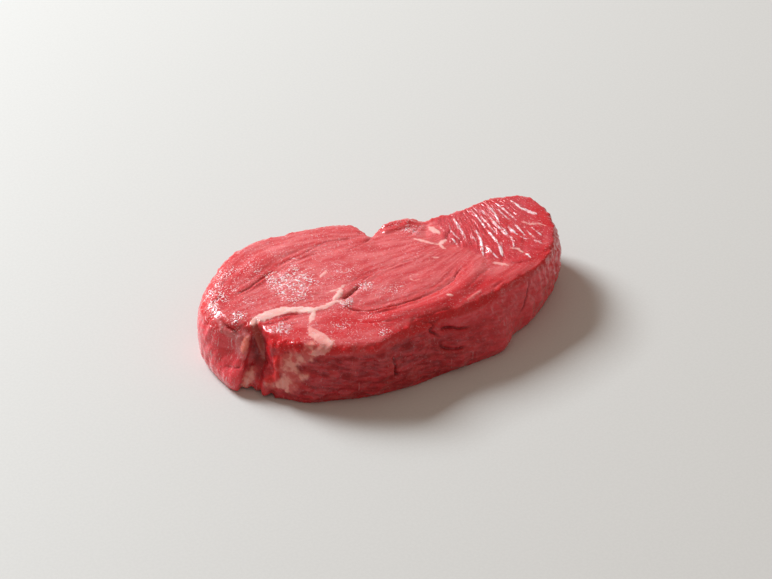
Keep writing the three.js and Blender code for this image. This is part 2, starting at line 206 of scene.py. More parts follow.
SIDE_CREASES = (
    Furrow(
        ((-77.9, 1.8, 25.5), (-76.9, -2.8, 25.0), (-74.2, -7.6, 23.3), (-71.9, -10.7, 21.9)), 1.3, 1.0, 0.1,
    ),
    Furrow(
        ((-16.9, -43.6, 18.3), (-16.6, -44.5, 13.7), (-16.6, -45, 10.3), (-14.2, -44.8, 8.8)), 2.2, 1.0, 0.5,
    ),
    Furrow(((-25.4, -43.6, 19.5), (-25.2, -44.6, 15.5), (-22.5, -45, 12.6)), 0.9, 0.9, 0.3),
    Furrow(
        ((2.6, -33.6, 25.6), (4.4, -35.7, 22.8), (3.0, -37.0, 21.0), (6.7, -37.9, 17.4)), 1.8, 0.9, 0.5,
    ),
    Furrow(
        ((7.3, -36.5, 20.4), (12.5, -36.2, 19.1), (17.4, -36.6, 17.4), (21.8, -35.9, 17.7)), 1.7, 0.9, 0.6,
    ),
    Furrow(
        ((6.5, -38.7, 15.4), (7.0, -39.9, 12.9), (12.2, -40.5, 11.2), (18.2, -40.6, 10.5)), 2.0, 0.9, 0.6,
    ),
    Furrow(
        ((55.7, -22.5, 23.2), (53.9, -24.8, 17.8), (52.2, -26.7, 13.7), (48.0, -28.9, 10.1)), 1.0, 0.8, 0.3,
    ),
    Furrow(((-2.2, -34.2, 25.8), (2.9, -35.1, 23.9), (8.3, -34.1, 24.2)), 1.0, 0.7, 0.3),
    Furrow(((-70.8, -15.6, 10.2), (-75.8, -17.4, 11.1), (-80.0, -12.0, 9.6)), 0.6, 0.8, 0.1),
)
PATCHES = {
    "fat": FAT_BEADS, "glow": GLOW_BEADS, "finger": FINGER_BEADS, "red": RED_BEADS, "sinew": SINEW_BEADS,
    "skin": SKIN_BEADS, "skin_haze_and_sheen": SKIN_HAZE_AND_SHEEN_BEADS,
}
# Patches whose beads are joined into one band
BANDS = ("glow", "finger", "sinew", "skin")
# How far each kind of patch stands out of the side, in millimetres
PATCH_HEIGHTS = {"fat": 0.3, "glow": 0.35, "finger": 0.7, "sinew": 0.7, "skin": 0.3}

# Broad hollows of the solid that the finer furrows take over from, and the foot of the back lump:
# each has a line, a height to fill and a half width
HOLLOWS = (
    (((-73.4, 7.5), (-63.4, 12), (-55.4, 14.5), (-47.4, 19.5), (-31.4, 25), (-19.4, 26.5)), 1.0, 3.2),
    (
        ((-26.4, -15.6), (-22.4, -20.1), (-14.4, -22.6), (6.6, -21.6), (21.6, -16.1), (32.6, -6.6)), 1.25,
        3.2,
    ),
    (((-26.4, -9.1), (-14.9, -3.1), (-5.4, 0), (6.6, 3.5)), 0.7, 2.8),
    (((-64.4, -13.1), (-57.4, -11.6), (-48.4, -12.1), (-39.4, -16.6), (-42.4, -21.6)), 0.4, 2.8),
    (((2.6, 34.5), (0.6, 27.5), (-8.4, 26), (-21.4, 27.5)), 0.7, 3.2),
    (((7.5, 27), (12, 28), (16.5, 28.4), (22, 28)), 0.9, 2.6),
)
# A knob of meat that stands out of the front, as its middle, reach and height
FRONT_KNOB = ((-22, -44, 20), 3.6, 1.6)
# The torn lump on the back rim, and how rough it is in millimetres
BACK_LUMP = Patch(17.5, 30, 10, 4, 0.22)
# The cleft at the thick end
CLEFT = Patch(-65.5, -14.5, 5.5, 9, 1.0)
# Places where the top face is a deeper red
RUDDY = (
    Patch(-66, 26, 10, 8, 0.9), Patch(-74, 15, 11, 18, 1.0), Patch(-54, -24, 12, 7, 0.75),
    Patch(-55, -12.5, 13, 2.5, 0.8), Patch(-14, -37, 18, 4, 0.9), Patch(20, -29, 26, 5, 0.95),
    Patch(38, -24, 24, 8, 1.0), Patch(66, -13, 14, 8, 1.0), Patch(-4, 36, 7, 6, 0.6),
    Patch(17, 29, 12, 6, 0.9), Patch(40, 29, 14, 3, 0.6), Patch(62, 31, 18, 4, 1.0),
    Patch(79.5, 14, 6, 22, 1.0), Patch(-13, -22.5, 9, 1.6, 0.9), Patch(55, 8, 30, 26, 0.55),
    Patch(-58, 25, 18, 14, 0.7), Patch(-68, -8, 6, 7, 0.6), Patch(-18, -30, 20, 8, 1.1),
    Patch(10, -29, 40, 8, 0.95), Patch(-30, -28, 22, 12, 0.8),
)

# Lines that the fine grain of the top face follows, each with its place across the grain
GRAIN_GUIDES = (
    (((-82, 14), (-70, 28), (-58, 36.5), (-45, 41.5), (-15, 42), (-3, 36), (12, 31), (45, 29)), 36),
    (((-84, 0), (-73, 7), (-60, 12.5), (-48, 18.5), (-37, 23.5), (-20, 26), (5, 24), (30, 20)), 18),
    (((-84, -4), (-60, -2), (-40, -2), (-25, -6), (-14, -2), (0, 2), (15, 5), (45, 14)), 0),
    (
        ((-64, -14), (-45, -14), (-26, -16), (-20, -21.5), (-6, -22.8), (11, -20.5), (21, -16.5), (45, 0)),
        -20,
    ),
    (((-62, -22), (-50, -32), (-30, -40), (-18, -42), (-8, -37), (7, -33.5), (45, -25), (72, -10)), -36),
)
# The edge of the coarse muscle: it lies on the right of this line, going from back to front
COARSE_EDGE = (
    (30.7, 35.5), (31.4, 27.8), (32.7, 19.4), (29.7, 13.3), (32.8, 7.6), (36.7, 1.5), (41.9, -6.2),
    (48.1, -11.8), (58.1, -15.8), (74.5, -9.1),
)
COARSE_FAN_X = 52.0
COARSE_FAN_Y = 15.0
COARSE_FAN = 0.02

# Patches of the top face that glitter: wet grains stand up there, and painted glints and painted sheen
# whiten them
GLITTER = (
    Patch(18, 30, 8, 3, 0.45), Patch(-41, 8, 12, 14, 0.8), Patch(-56, 24, 14, 12, 0.4),
    Patch(20, 24, 4, 5, 0.8), Patch(-70, -4, 5, 4, 0.9), Patch(-47.2, 11.3, 6, 9, 1.0),
    Patch(-44.3, -1.7, 7, 4, 0.9), Patch(-38.3, 7.1, 6, 6, 0.8), Patch(-73.8, 14.7, 9, 11, 0.75),
    Patch(-67, 27, 9, 7, 0.6), Patch(-77.5, 7.7, 4, 6, 0.7), Patch(-26.3, -12.9, 4, 3.5, 1.2),
    Patch(-14.3, -6.8, 5, 4, 0.8), Patch(-62.1, 2.8, 7, 5, 0.35), Patch(-18, -25.1, 5, 3, 0.6),
    Patch(-18.9, -36.9, 5, 4, 0.6), Patch(-33.1, -26.3, 7, 5, 0.45), Patch(-55.9, -18.8, 5, 5, 0.8),
    Patch(-69.9, -3.7, 3, 4, 0.9), Patch(-5.5, -13.1, 9, 6, 0.4), Patch(-35.8, 22.5, 8, 4, 0.4),
    Patch(-20.5, 6.8, 12, 10, 0.35), Patch(20, 25.9, 8, 4, 0.5), Patch(13.5, 8.8, 18, 12, 0.15),
    Patch(9.5, -29, 24, 5, 0.15),
)

# Colours of the meat that don't change with the user's own
DARK_STREAK = (0.52, 0.028, 0.038)
PALE_SPECK = (0.85, 0.3, 0.3)
# Painted sheen: a pale wash that stands in for the wet shine of the glittering top
PAINTED_SHEEN = (0.88, 0.42, 0.44)
RUDDY_LEAN = (0.62, 0.02, 0.028)
SIDE_MOTTLE = (0.6, 0.07, 0.07)
# Painted light: a brighter red for the front's ends and its upper right
PAINTED_SIDE_LIGHT = (0.94, 0.088, 0.11)
FURROW_SHADE = (0.22, 0.004, 0.01)
CLEFT_SHADE = (0.14, 0.007, 0.01)
FAT_BLUSH = (0.97, 0.47, 0.43)
SIDE_FAT = (0.92, 0.38, 0.32)
SIDE_FAT_BLUSH = (0.68, 0.11, 0.1)
# Pale haze: partly skin, partly painted sheen
SKIN_HAZE_AND_SHEEN = (0.6, 0.2, 0.22)
GLOW = (0.7, 0.028, 0.028)
FINGER = (0.9, 0.25, 0.19)
SINEW = (0.42, 0.075, 0.06)
# White of the coarse ridges: partly whitish tissue, partly painted highlight
RIDGE_TISSUE_AND_GLINT = (1.0, 0.84, 0.87)
# Painted glint: the white of a highlight on a wet grain
GLINT = (1.0, 0.86, 0.88)

# The studio: the camera's target in millimetres, its film and lens in millimetres, and the light in metres
CAMERA_TARGET = (7.23, 21.48, 0)
CAMERA_SENSOR = 36
CAMERA_LENS = 96.53
CAMERA_ROLL = math.radians(0.52)
LIGHT_PLACE = (-0.77, 1.58, 1.32)
LIGHT_SIZE = (0.8, 0.8)
LIGHT_COLOUR = (0.88, 0.95, 1.0)
SKY_COLOUR = (1.0, 0.82, 0.7)
FLOOR_SPECK = (0.5, 0.49, 0.47)


class SteakShape(bpy.types.PropertyGroup):
    """Sizes of the steak's fine shape."""

    face_size: bpy.props.FloatProperty(
        name="Face size", description="Width of the faces of the fine mesh", default=0.00056, unit="LENGTH",
    )
    furrows: bpy.props.FloatProperty(
        name="Furrows", description="Depth of the furrows, as a share of their real depth", default=1.0,
    )
    grain: bpy.props.FloatProperty(
        name="Grain", description="Height of the fine grain of the top face, in millimetres", default=0.13,
    )
    coarse_grain: bpy.props.FloatProperty(
        name="Coarse grain", description="Height of the torn grain at the narrow end, in millimetres",
        default=0.24,
    )
    side_folds: bpy.props.FloatProperty(
        name="Side folds", description="Height of the folds of the side, in millimetres", default=0.8,
    )


class SteakFinish(bpy.types.PropertyGroup):
    """Colours and wetness of the meat."""

    lean: bpy.props.FloatVectorProperty(
        name="Lean", description="Colour of the cut face", subtype="COLOR", default=(0.6, 0.055, 0.064),
    )
    lean_pale: bpy.props.FloatVectorProperty(
        name="Pale lean", description="Colour of the paler bundles", subtype="COLOR",
        default=(0.8, 0.19, 0.195),
    )
    coarse_lean: bpy.props.FloatVectorProperty(
        name="Coarse lean", description="Colour of the torn muscle", subtype="COLOR",
        default=(0.56, 0.036, 0.052),
    )
    side_lean: bpy.props.FloatVectorProperty(
        name="Side lean", description="Colour of the side's fibres", subtype="COLOR",
        default=(0.57, 0.03, 0.042),
    )
    side_deep: bpy.props.FloatVectorProperty(
        name="Deep lean", description="Colour between the side's fibres", subtype="COLOR",
        default=(0.31, 0.006, 0.012),
    )
    rim: bpy.props.FloatVectorProperty(
        name="Rim", description="Colour of the cut rim", subtype="COLOR", default=(0.66, 0.014, 0.02),
    )
    fat: bpy.props.FloatVectorProperty(
        name="Fat", description="Colour of the fat", subtype="COLOR", default=(1.0, 0.6, 0.55),
    )
    membrane: bpy.props.FloatVectorProperty(
        name="Membrane", description="Colour of the thin skin", subtype="COLOR", default=(0.74, 0.28, 0.29),
    )
    wetness: bpy.props.FloatProperty(
        name="Wetness", description="How strong the wet gloss is", subtype="FACTOR", default=1.0,
    )


class SteakStudio(bpy.types.PropertyGroup):
    """The floor, the light and the camera."""

    floor: bpy.props.FloatVectorProperty(
        name="Floor", description="Colour of the floor", subtype="COLOR", default=(0.62, 0.61, 0.585),
    )
    key_power: bpy.props.FloatProperty(
        name="Key light", description="Power of the large soft light", unit="POWER", default=73.0,
    )
    sky: bpy.props.FloatProperty(
        name="Sky", description="Strength of the light from all round", default=0.36,
    )
    distance: bpy.props.FloatProperty(
        name="Camera distance", description="From the camera to the point it looks at", unit="LENGTH",
        default=0.915,
    )
    elevation: bpy.props.FloatProperty(
        name="Camera elevation", description="How far the camera looks down", subtype="ANGLE",
        default=math.radians(37.5),
    )
    azimuth: bpy.props.FloatProperty(
        name="Camera azimuth", description="How far the camera is turned from looking along Y",
        subtype="ANGLE", default=math.radians(-23.28),
    )


def smooth_line(points, step=0.4):
    """A curve through the points, as an array of places about a step apart."""
    knots = np.array(points, float)
    ends = np.vstack([2 * knots[0] - knots[1], knots, 2 * knots[-1] - knots[-2]])
    places = []
    for a, b, c, d in zip(ends, ends[1:], ends[2:], ends[3:]):
        count = max(2, int(np.linalg.norm(c - b) / step))
        t = np.linspace(0, 1, count, endpoint=False)[:, None]
        bend = (2 * a - 5 * b + 4 * c - d) * t**2 + (3 * b - a - 3 * c + d) * t**3
        places.append(b + 0.5 * ((c - a) * t + bend))
    return np.vstack(places + [knots[-1:]])


def measure_line(places, points, reach):
    """Distance to a curve, length along it and side of it, for each row of places within reach of it.

    The side is positive on the left of a curve seen from above. Places out of reach are infinitely far.
    """
    curve = smooth_line(points)
    width = curve.shape[1]
    at = places[:, :width]
    near = np.all((at > curve.min(0) - reach) & (at < curve.max(0) + reach), axis=1)
    chosen = np.flatnonzero(near)
    distance = np.full(len(places), np.inf)
    along = np.zeros(len(places))
    side = np.ones(len(places))
    lengths = np.concatenate([[0], np.cumsum(np.linalg.norm(np.diff(curve, axis=0), axis=1))])
    ahead = np.gradient(curve, axis=0)
    for part in np.array_split(chosen, max(1, len(chosen) // 20000)):
        if len(part) == 0:
            continue
        gaps = np.stack([(at[part, i, None] - curve[None, :, i]) ** 2 for i in range(width)]).sum(0)
        nearest = gaps.argmin(1)
        offset = at[part] - curve[nearest]
        distance[part] = np.sqrt(gaps[np.arange(len(part)), nearest])
        along[part] = lengths[nearest]
        turn = ahead[nearest, 0] * offset[:, 1] - ahead[nearest, 1] * offset[:, 0]
        side[part] = np.where(turn < 0, -1.0, 1.0)
    return distance, along, side, lengths[-1]


def bump(distance):
    """1 at the middle of a bump, and 0 at its edge and beyond."""
    return (1 - np.minimum(np.abs(distance), 1) ** 2) ** 2


def patch_distance(patch, x, y):
    """Distance from a patch's middle, as a share of its reach."""
    return np.hypot((x - patch.x) / patch.reach_x, (y - patch.y) / patch.reach_y)


def ease(value, low, high):
    """From 0 at low to 1 at high, smoothly."""
    t = np.clip((value - low) / (high - low), 0, 1)
    return t * t * (3 - 2 * t)


def end_fade(along, length, share=0.22):
    """Fades a line out towards both of its ends."""
    run = max(share * length, 0.5)
    return ease(along, -0.3 * run, run) * (1 - ease(along, length - run, length + 0.3 * run))


GRADIENTS = np.random.default_rng(RANDOM_SEED).normal(size=(256, 3))
GRADIENTS /= np.linalg.norm(GRADIENTS, axis=1, keepdims=True)
SHUFFLE = np.random.default_rng(RANDOM_SEED + 1).permutation(256)


def noise(x, y, z=0.0, seed=0):
    """Smooth noise, from about -1 to 1, that varies over about one unit of each coordinate."""
    places = np.stack(np.broadcast_arrays(x, y, z), axis=-1).astype(float) + 37.7 * seed
    cell = np.floor(places).astype(int)
    part = places - cell
    weight = part**3 * (part * (part * 6 - 15) + 10)
    total = np.zeros(part.shape[0])
    for corner in product((0, 1), repeat=3):
        at = (cell + corner) % 256
        index = SHUFFLE[(SHUFFLE[(SHUFFLE[at[:, 0]] + at[:, 1]) % 256] + at[:, 2]) % 256]
        slope = np.einsum("ij,ij->i", GRADIENTS[index], part - corner)
        share = np.prod(np.where(corner, weight, 1 - weight), axis=1)
        total += share * slope
    return 1.6 * total


def even_mesh(node, face_size):
    """A copy of the node's mesh with small even faces, smoothed so that its flat facets don't show."""
    copy = bpy.data.objects.new(PIECE, node.data.copy())
    bpy.context.scene.collection.objects.link(copy)
    remesh = copy.modifiers.new("even faces", "REMESH")
    remesh.mode = "VOXEL"
    remesh.voxel_size = face_size
    smooth = copy.modifiers.new("no facets", "SMOOTH")
    smooth.factor = 0.5
    smooth.iterations = SMOOTH_ROUNDS
    keep_result(copy)
    thin_out_underside(copy)
    return copy


def keep_result(copy):
    """Turns what the object's modifiers make into its own mesh."""
    bpy.context.view_layer.update()
    shaped = copy.evaluated_get(bpy.context.evaluated_depsgraph_get())
    mesh = bpy.data.meshes.new_from_object(shaped)
    copy.modifiers.clear()
    copy.data = mesh


def thin_out_underside(copy):
    """Leaves few faces on the flat underside, where no detail is needed."""
    places, _ = read_mesh(copy.data)
    flat = np.flatnonzero(places[:, 2] < 0.02)
    group = copy.vertex_groups.new(name="underside")
    group.add([int(index) for index in flat], 1.0, "REPLACE")
    fewer = copy.modifiers.new("fewer faces", "DECIMATE")
    fewer.vertex_group = group.name
    fewer.ratio = 1 - UNDERSIDE_DROPPED * len(flat) / len(places)
    keep_result(copy)
    copy.vertex_groups.clear()


def read_mesh(mesh):
    """The places of the mesh's vertices in millimetres, and their normals."""
    count = len(mesh.vertices)
    places = np.empty(count * 3, np.float32)
    mesh.vertices.foreach_get("co", places)
    normals = np.empty(count * 3, np.float32)
    mesh.vertex_normals.foreach_get("vector", normals)
    return places.reshape(-1, 3).astype(float) / MM + START, normals.reshape(-1, 3).astype(float)


class Meat:
    """What is known of each vertex of the steak before it gets its relief."""

    def __init__(self, places, normals):
        self.places = places
        self.normals = normals
        x, y, z = places.T
        self.top = ease(normals[:, 2], 0.45, 0.9) * ease(z, 16, 21)
        self.under = 1 - ease(z, 0.4, 2.5)
        self.side = (1 - self.top) * (1 - ease(-normals[:, 2], 0.6, 0.95) * (1 - ease(z, 0.3, 1)))
        self.rim = bump((normals[:, 2] - 0.62) / 0.36) * ease(z, 20, 23)
        self.around = HALF_LENGTH * np.arctan2(x / HALF_LENGTH, -y / HALF_WIDTH)
        self.across, self.along = grain_coordinates(x, y)
        self.coarse = coarse_muscle(places)
        self.fan = x + COARSE_FAN * (x - COARSE_FAN_X) * (y - COARSE_FAN_Y)
        self.cleft = cleft_depth(places)


def grain_coordinates(x, y):
    """Place across the fine grain and along it, in millimetres, for each point of the top face."""
    places = np.stack([x, y], axis=1)
    total = np.zeros(len(x))
    across = np.zeros(len(x))
    along = np.zeros(len(x))
    for line, level in GRAIN_GUIDES:
        distance, run, side, length = measure_line(places, line, 400)
        weight = 1 / (distance**2 + 4) ** 1.5
        total += weight
        across += weight * (level + side * distance)
        along += weight * (run - 0.5 * length)
    return across / total, along / total


def coarse_muscle(places):
    """1 on the coarse muscle at the narrow end, 0 elsewhere."""
    distance, _, side, _ = measure_line(places, COARSE_EDGE, 200)
    ragged = 1.2 * noise(places[:, 0] / 3, places[:, 1] / 3, 0, 21)
    return ease(side * distance + ragged, -1.0, 1.6)


def cleft_depth(places):
    """1 deep inside the cleft, 0 outside it."""
    x, y, z = places.T
    inside = bump(patch_distance(CLEFT, x, y))
    return inside * (1 - ease(z, 21, 26))


def furrow_relief(meat, furrows, spread=1.0):
    """How far the furrows press the meat in, and how deep in shade each vertex lies in them."""
    height = np.zeros(len(meat.places))
    shade = np.zeros(len(meat.places))
    for number, furrow in enumerate(furrows):
        distance, along, side, length = measure_line(meat.places, furrow.line, 6)
        waver = 0.35 * noise(along / 3.1, number * 1.7, 0, 31)
        fade = end_fade(along, length) * (0.8 + 0.4 * noise(along / 4.3, number * 2.3, 0, 32))
        offset = np.where(np.isfinite(distance), side * distance + waver, 99.0)
        pressed = bump(offset / (furrow.half * spread)) * fade
        broad = bump(offset / (3.2 * furrow.half * spread)) * fade
        lip = bump((offset + 1.9 * furrow.half) / (1.7 * furrow.half)) * fade
        height += furrow.lip * lip - furrow.depth * (0.75 * pressed + 0.25 * broad)
        shade = np.maximum(shade, pressed * min(1.0, furrow.depth))
    return height, shade


def strip_cover(meat, strips, roughness=0.35):
    """How far inside a strip each vertex lies, in millimetres, how pale the strip is, and its height."""
    x, y, z = meat.places.T
    cover = np.full(len(x), -4.0)
    pale = np.zeros(len(x))
    height = np.zeros(len(x))
    ragged = roughness * (noise(x / 1.6, y / 1.6, z / 1.6, 41) + 0.5 * noise(x / 0.8, y / 0.8, z / 0.8, 42))
    for strip in strips:
        distance, along, _, length = measure_line(meat.places, strip.line, 6)
        taper = 0.45 + 0.55 * end_fade(along, length, 0.3)
        inside = np.where(np.isfinite(distance), strip.half * taper - distance, -4.0) + ragged
        better = inside > cover
        cover = np.where(better, inside, cover)
        pale = np.where(inside > -1, np.maximum(pale, strip.pale * ease(inside, -1, 0)), pale)
        height = np.maximum(height, strip.height * ease(inside, -0.4, 0.8))
    return cover, pale, height


def bead_cover(meat, beads, roughness=0.7):
    """How far inside a patch of beads each vertex lies, in millimetres."""
    x, y, z = meat.places.T
    cover = np.full(len(x), -4.0)
    for bead in beads:
        near = np.flatnonzero((np.abs(x - bead[0]) < 8) & (np.abs(y - bead[1]) < 8))
        gap = np.linalg.norm(meat.places[near] - bead[:3], axis=1)
        cover[near] = np.maximum(cover[near], bead[3] + 0.3 - gap)
    ragged = noise(x / 1.9, y / 1.9, z / 1.9, 43) + 0.6 * noise(x / 0.9, y / 0.9, z / 0.9, 44)
    return cover + roughness * ragged


def glitter(meat):
    """How much each vertex of the top face glitters: how high its wet grains stand, and how much painted
    glint and painted sheen it gets.
    """
    x, y, _ = meat.places.T
    amount = 0.06 + 0.14 * (1 - ease(x, -30, 20))
    for patch in GLITTER:
        amount = np.maximum(amount, patch.strength * bump(patch_distance(patch, x, y) / 1.5))
    cloud = 0.75 + 0.6 * noise(x / 4, y / 4, 0, 51)
    on_top = (amount * (1 - meat.coarse) + 0.13 * meat.coarse) * meat.top
    on_end = 0.35 * meat.side * ease(-x, 66, 76) * (1 - ease(y, 8, 26))
    return np.clip((on_top + on_end) * cloud, 0, 1.3)


def ruddiness(meat):
    """How much deeper in red each vertex of the top face is."""
    x, y, _ = meat.places.T
    amount = np.zeros(len(x))
    for patch in RUDDY:
        amount = np.maximum(amount, patch.strength * bump(patch_distance(patch, x, y) / 1.3))
    cloud = 0.85 + 0.5 * noise(meat.across / 3, meat.along / 9, 0, 52)
    return np.clip(amount * cloud + 0.25 * noise(meat.across / 5, meat.along / 15, 0, 53), 0, 1)


def painted_side_light(meat):
    """How much painted light each vertex of the front gets: a brighter, clearer red at both ends and near
    the rim on the right.
    """
    x, y, z = meat.places.T
    ends = np.maximum(ease(-x, 66, 78), 0.75 * ease(x, 0, 55))
    near_rim = 0.9 * ease(x, -10, 20) * ease(z, 13, 22)
    return np.maximum(ends, near_rim) * (1 - ease(y, 8, 26))


def fill_hollows(meat):
    """Fills the solid's broad hollows partly, for the narrow furrows to take over from."""
    height = np.zeros(len(meat.places))
    for line, fill, half in HOLLOWS:
        distance, along, _, length = measure_line(meat.places, line, 6)
        near = np.where(np.isfinite(distance), distance, 99.0)
        height = np.maximum(height, fill * bump(near / half) * end_fade(along, length, 0.15))
    return height


def fine_grain(meat, height):
    """The fine grain of the top face, its bundles and its gentle swells."""
    x, y, _ = meat.places.T
    fibres = noise(meat.across / 0.9, meat.along / 7, 0, 1)
    bundles = noise(meat.across / 2.4, meat.along / 14, 0, 2)
    swells = noise(x / 12, y / 8, 0, 3)
    blisters = noise(x / 2.2, y / 2.2, 0, 16)
    return height * (0.25 * fibres + 0.7 * bundles + 0.8 * blisters + 2.6 * swells)


def coarse_grain(meat, height):
    """The torn ridges of the coarse muscle, steep on one side."""
    x, y, _ = meat.places.T
    waver = 0.8 * noise(x / 6, y / 6, 0, 4)
    ridges = noise((meat.fan + waver) / 1.5, y / 9, 0, 5)
    flakes = noise((meat.fan + waver) / 0.8, y / 3.6, 0, 6)
    swells = noise(meat.fan / 4, y / 11, 0, 7)
    return height * (0.8 - 2.0 * np.abs(ridges) + 0.7 * flakes + 0.7 * swells)


def side_relief(meat, height):
    """Lengthwise fibres, folds and lumps of the side."""
    z = meat.places[:, 2]
    slant = z + 0.14 * meat.around + 1.5 * noise(z / 9, meat.around / 12, 0, 19)
    fibres = noise(slant / 1.3, meat.around / 7, 0, 8)
    folds = noise(slant / 4, meat.around / 9, 0, 9)
    lumps = noise(z / 6, meat.around / 6, 0, 10)
    pits = noise(z / 1.7, meat.around / 2.2, 0, 11)
    calm = 1 - 0.6 * ease(-meat.places[:, 0], 55, 70)
    return height * calm * (0.2 * fibres + 0.65 * folds + 1.2 * lumps + 0.4 * pits)


def rim_relief(meat):
    """The ragged crisp edge of the top face."""
    x, y, z = meat.places.T
    ragged = noise(x / 3.3, y / 3.3, z / 2.5, 12) + 0.6 * noise(x / 1.4, y / 1.4, z / 1.2, 13)
    return meat.rim * (0.3 + 0.45 * ragged)


def lump_relief(meat):
    """The torn lump on the back rim."""
    x, y, z = meat.places.T
    near = bump(patch_distance(BACK_LUMP, x, y))
    crags = noise(x / 2.1, y / 2.1, z / 2.1, 17) + 0.6 * noise(x / 1.1, y / 1.1, z / 1.1, 18)
    return BACK_LUMP.strength * ease(near, 0, 0.4) * ease(z, 18, 22) * crags


def knob_relief(meat):
    """The knob of meat at the front."""
    middle, reach, height = FRONT_KNOB
    distance = np.linalg.norm(meat.places - np.array(middle), axis=1)
    return height * bump(distance / reach)


def shape_steak(steak, shape):
    """Gives the steak's mesh its relief, and stores on its vertices what its finish needs."""
    meat = Meat(*read_mesh(steak.data))
    x, y, z = meat.places.T
    top_furrows, top_shade = furrow_relief(meat, TOP_FURROWS)
    creases, crease_shade = furrow_relief(meat, SIDE_CREASES)
    top_cover, top_pale, top_fat_height = strip_cover(meat, TOP_FAT)
    ridge_cover, ridge_pale, ridge_height = strip_cover(meat, PALE_RIDGES, 0.18)
    patches = {
        name: bead_cover(meat, smooth_line(beads, 0.6), 0.3) if name in BANDS else bead_cover(meat, beads)
        for name, beads in PATCHES.items()
    }
    shine = glitter(meat)
    pebbles = noise(x / 1.5, y / 1.5, z / 1.5, 14) + 0.6 * noise(x / 0.9, y / 0.9, z / 0.9, 15)

    fat_here = ease(top_cover, -0.3, 0.5)
    top = fill_hollows(meat) + shape.furrows * top_furrows
    top += (1 - meat.coarse) * (1 - 0.9 * fat_here) * fine_grain(meat, shape.grain)
    top += meat.coarse * (coarse_grain(meat, shape.coarse_grain) + ridge_height)
    top += top_fat_height + (0.02 + 0.34 * shine**2 * (1 - meat.coarse)) * (1 - fat_here) * pebbles
    smooth_patch = ease(np.maximum(patches["fat"], patches["skin"]), -0.5, 0.5)
    side = side_relief(meat, shape.side_folds) * (1 - 0.6 * smooth_patch)
    side += shape.furrows * creases + knob_relief(meat)
    for name, height in PATCH_HEIGHTS.items():
        side += height * ease(patches[name], -0.4, 0.9)
    clear_of_board = ease(z, 0.2, 2.5)

    moved = meat.places.copy()
    moved += meat.normals * (side * meat.side * clear_of_board * (1 - 0.6 * meat.cleft))[:, None]
    moved += meat.normals * (rim_relief(meat) * (1 - meat.cleft))[:, None]
    moved += meat.normals * lump_relief(meat)[:, None]
    moved[:, 2] += top * meat.top
    steak.data.vertices.foreach_set("co", (fit_to_solid(moved - START) * MM).astype(np.float32).ravel())
    steak.data.update()

    on_top = meat.top + meat.rim > 0.3
    store(steak.data, "side", np.clip(meat.side * (1 - ease(z, 21, 25)), 0, 1))
    store(steak.data, "rim", np.clip(meat.rim, 0, 1))
    store(steak.data, "coarse", meat.coarse * meat.top)
    store(steak.data, "cleft", meat.cleft)
    shade = np.maximum(top_shade * meat.top, crease_shade * (1 - meat.top))
    store(steak.data, "shade", np.clip(shade, 0, 1))
    store(steak.data, "glitter", shine)
    store(steak.data, "ruddy", ruddiness(meat))
    store(steak.data, "painted_side_light", painted_side_light(meat))
    store(steak.data, "top_fat", np.where(on_top, top_cover, -4))
    store(steak.data, "top_fat_pale", top_pale)
    store(steak.data, "ridge", np.where(meat.coarse * meat.top > 0.1, ridge_cover, -4))
    store(steak.data, "ridge_pale", ridge_pale)
    for name, cover in patches.items():
        store(steak.data, name, cover)
    store_vector(steak.data, "grain_top", meat.across, meat.along, 0 * x)
    store_vector(steak.data, "grain_coarse", meat.fan, y, 0 * x)
    store_vector(steak.data, "grain_side", z + 0.14 * meat.around, meat.around, 0 * x)


def fit_to_solid(places):
    """Moves the places by a hair along each axis, so that the steak keeps its solid's overall size."""
    low, high = (np.array(corner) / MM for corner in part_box(NODE))
    was_low, was_high = places.min(0), places.max(0)
    return low + (places - was_low) * (high - low) / (was_high - was_low)


def store(mesh, name, values):
    """Keeps one number for each vertex, for the finish to read."""
    attribute = mesh.attributes.new(name, "FLOAT", "POINT")
    attribute.data.foreach_set("value", values.astype(np.float32))


def store_vector(mesh, name, *parts):
    """Keeps three numbers for each vertex, for the finish to read."""
    attribute = mesh.attributes.new(name, "FLOAT_VECTOR", "POINT")
    attribute.data.foreach_set("vector", np.stack(parts, axis=1).astype(np.float32).ravel())


